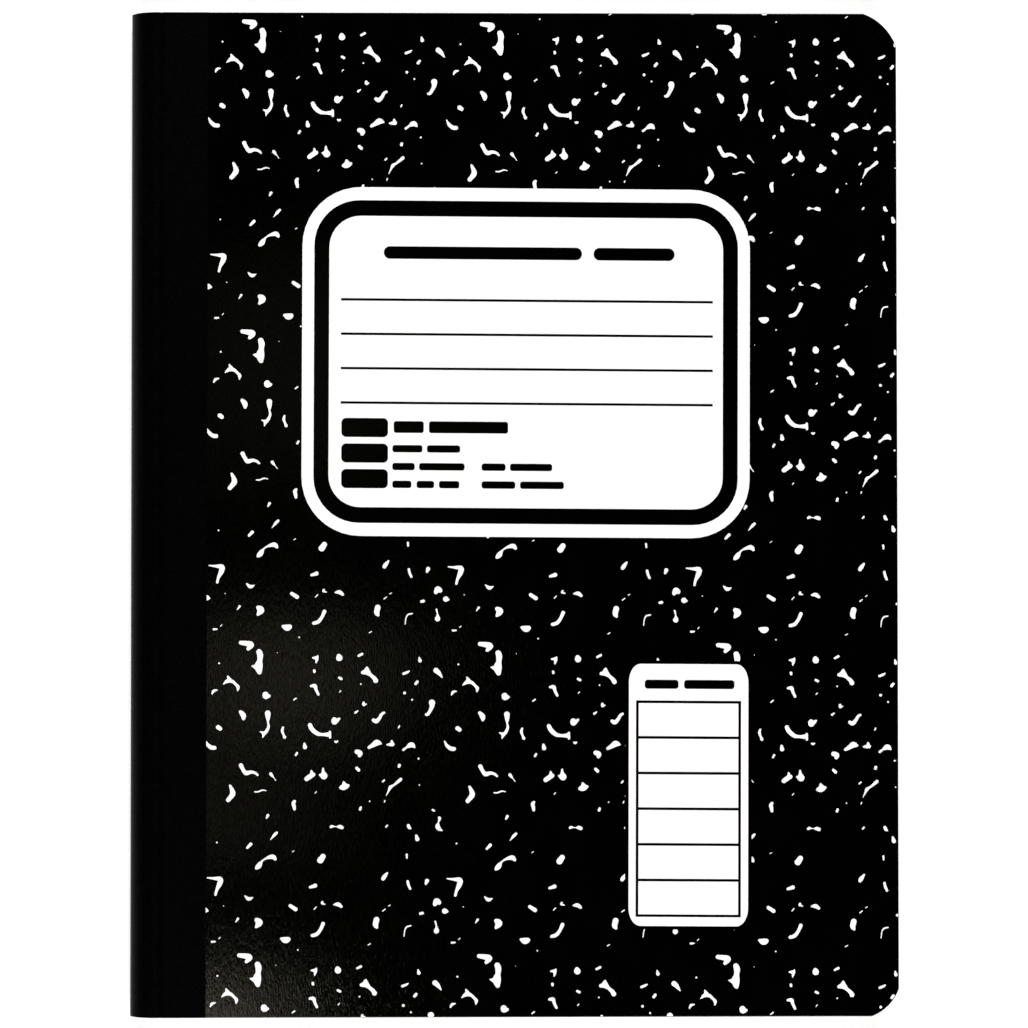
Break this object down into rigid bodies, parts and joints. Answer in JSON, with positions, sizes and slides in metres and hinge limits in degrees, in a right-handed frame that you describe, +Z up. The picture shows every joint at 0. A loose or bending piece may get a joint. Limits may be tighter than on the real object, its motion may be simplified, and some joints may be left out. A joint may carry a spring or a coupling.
{
  "type": "composition notebook",
  "caption": "Sewn composition notebook: marbled stiff covers that open on a taped spine, punched fore-edge corners, a blank label and ruled leaves with card dividers.",
  "frame": {"origin": "middle of the underside of the closed book, which lies on its back cover", "axes": "+X from the spine to the fore edge, +Y from the foot to the head, +Z up out of the front cover"},
  "size_m": [0.1896, 0.2476, 0.012],
  "materials": {
    "cover_board": "satin",
    "endpaper": "matte",
    "spine_tape": "satin",
    "page_paper": "matte",
    "divider_card": "matte",
    "thread": "matte"
  },
  "bodies": {
    "text_block": {"page_block": "page_paper", "front_divider": "divider_card", "rear_divider": "divider_card", "sewing_thread": "thread", "spine_tape": "spine_tape"},
    "front_board": {"front_cover": "cover_board", "front_endpaper": "endpaper"},
    "back_board": {"back_cover": "cover_board", "back_endpaper": "endpaper"}
  },
  "joints": [
    {"name": "front_cover_hinge", "type": "hinge", "parent": "text_block", "child": "front_board", "pos_m": [-0.08695, 0, 0.012], "axis": [0, -1, 0], "range_deg": [0, 178], "deforming": ["spine_tape"]},
    {"name": "back_cover_hinge", "type": "hinge", "parent": "text_block", "child": "back_board", "pos_m": [-0.08695, 0, 0], "axis": [0, 1, 0], "range_deg": [0, 178], "deforming": ["spine_tape"]}
  ]
}
